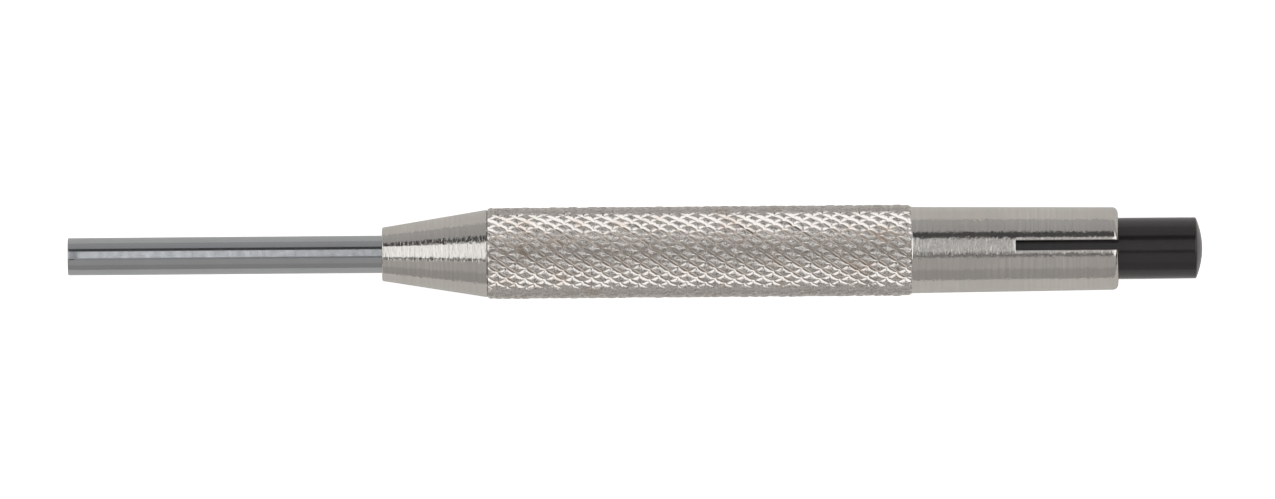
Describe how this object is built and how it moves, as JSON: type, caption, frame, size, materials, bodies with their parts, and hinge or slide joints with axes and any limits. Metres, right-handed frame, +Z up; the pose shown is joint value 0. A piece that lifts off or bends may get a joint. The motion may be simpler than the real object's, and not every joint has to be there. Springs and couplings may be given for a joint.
{
  "type": "pin punch",
  "caption": "Parallel pin punch for driving out pins, with a crowned black body and a knurled, plated guide sleeve that slides along it and steadies the pin.",
  "frame": {"origin": "under the middle of the tool's length, on the surface that the knurled grip lies on", "axes": "+X along the tool, from the pin's tip to the striking head; +Z up; the collar's slot faces up and down, turned 5.5 degrees towards +Y"},
  "size_m": [0.148, 0.012, 0.012],
  "materials": {
    "nickel_plate": "satin nickel plate over turned and knurled steel",
    "black_oxide": "satin black oxide on hardened steel",
    "ground_steel": "fine ground hardened tool steel",
    "spring_wire": "drawn spring wire"
  },
  "bodies": {
    "sleeve": {"guide_sleeve": "nickel_plate"},
    "ring": {"stop_ring": "spring_wire"},
    "punch": {"punch_body": "black_oxide", "drive_pin": "ground_steel"}
  },
  "joints": [
    {"name": "punch_slide", "type": "slide", "parent": "sleeve", "child": "ring", "axis": [1, 0, 0], "range_m": [0, 0.045]},
    {"name": "punch_turn", "type": "hinge", "parent": "ring", "child": "punch", "pos_m": [0, 0, 0.006], "axis": [1, 0, 0], "continuous": true}
  ]
}
